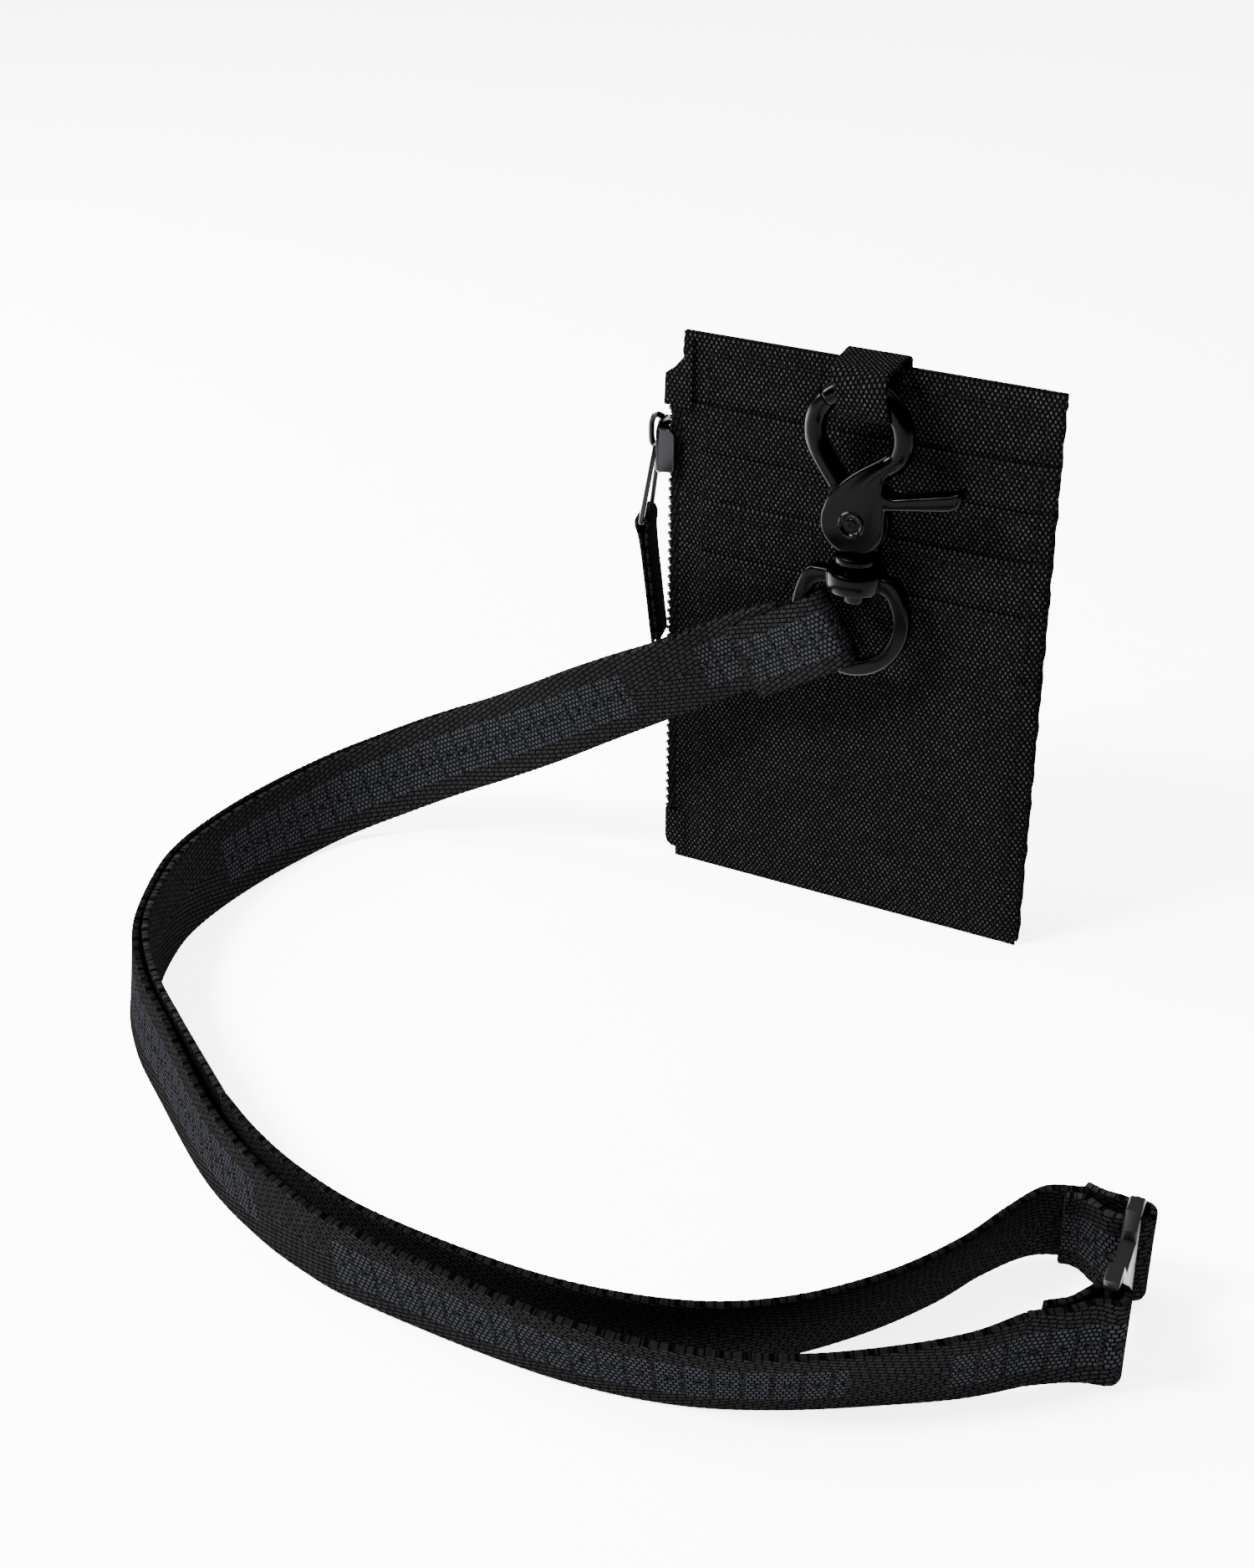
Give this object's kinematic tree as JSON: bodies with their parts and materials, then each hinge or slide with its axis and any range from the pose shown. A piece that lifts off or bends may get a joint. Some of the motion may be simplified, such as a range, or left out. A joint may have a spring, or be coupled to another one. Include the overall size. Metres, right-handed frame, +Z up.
{
  "type": "neck pouch wallet",
  "caption": "Flat nylon pouch with stepped card slots in front, a zip up one side, and a swivel snap hook holding a webbing neck strap with a flat clasp.",
  "frame": {"origin": "middle of the pouch's bottom edge, on the surface it stands on, halfway through the lining", "axes": "+Z up the pouch, -Y out of the card slots, +X towards the side away from the zip"},
  "size_m": [0.2712, 0.2087, 0.1497],
  "materials": {
    "nylon": "matt oxford weave",
    "lining": "plain fine weave",
    "webbing": "jacquard webbing, matt",
    "zip_tape": "herringbone tape",
    "zip_teeth": "coil teeth, semi-gloss",
    "slider_metal": "gunmetal plate, glossy",
    "hook_metal": "satin black plate",
    "spring_steel": "bright drawn wire",
    "clasp_plastic": "fine matt moulded"
  },
  "bodies": {
    "pouch": {"back_panel": "nylon", "pouch_lining": "lining", "header_panel": "nylon", "slot_panel_1": "nylon", "slot_panel_2": "nylon", "slot_panel_3": "nylon", "slot_panel_4": "nylon", "zip_tape_front": "zip_tape", "zip_tape_back": "zip_tape", "zip_chain": "zip_teeth", "zip_top_cover": "nylon", "zip_bottom_tab": "nylon", "fabric_loop": "nylon", "hook_frame": "hook_metal", "hook_rivet": "hook_metal", "trigger_spring": "spring_steel", "strap_inner_rear": "webbing", "strap_inner_front": "webbing", "strap_outer": "webbing", "front_end_fold": "webbing", "clasp_female": "clasp_plastic"},
    "slider": {"zip_slider": "slider_metal"},
    "pull": {"pull_ring": "slider_metal"},
    "pull_strip": {"pull_tape": "webbing"},
    "trigger": {"trigger": "hook_metal"},
    "eye": {"swivel_eye": "hook_metal", "strap_end_fold": "webbing"},
    "clasp_male": {"clasp_male": "clasp_plastic", "rear_end_fold": "webbing"}
  },
  "joints": [
    {"name": "zip_slide", "type": "slide", "parent": "pouch", "child": "slider", "axis": [0, 0, -1], "range_m": [0, 0.092]},
    {"name": "pull_ring_swing", "type": "hinge", "parent": "slider", "child": "pull", "pos_m": [-0.05725, -0.0007, 0.11745], "axis": [0, 1, 0], "range_deg": [0, 150]},
    {"name": "pull_tape_swing", "type": "hinge", "parent": "pull", "child": "pull_strip", "pos_m": [-0.0603, -0.0007, 0.097], "axis": [0, 1, 0], "range_deg": [0, 45]},
    {"name": "trigger_press", "type": "hinge", "parent": "pouch", "child": "trigger", "pos_m": [0.0005, -0.012, 0.1103], "axis": [0, 1, 0], "range_deg": [0, 26], "stiffness_Nm_per_rad": 0.12, "springref_deg": -10.03},
    {"name": "eye_swivel", "type": "hinge", "parent": "pouch", "child": "eye", "pos_m": [0.002, -0.012, 0.095], "axis": [0, 0, 1], "range_deg": [-12, 20], "deforming": ["strap_inner_rear", "strap_outer"]},
    {"name": "buckle_release", "type": "slide", "parent": "pouch", "child": "clasp_male", "axis": [-0.124, 0.9923, 0], "range_m": [0, 0.012], "deforming": ["strap_inner_front"]}
  ]
}
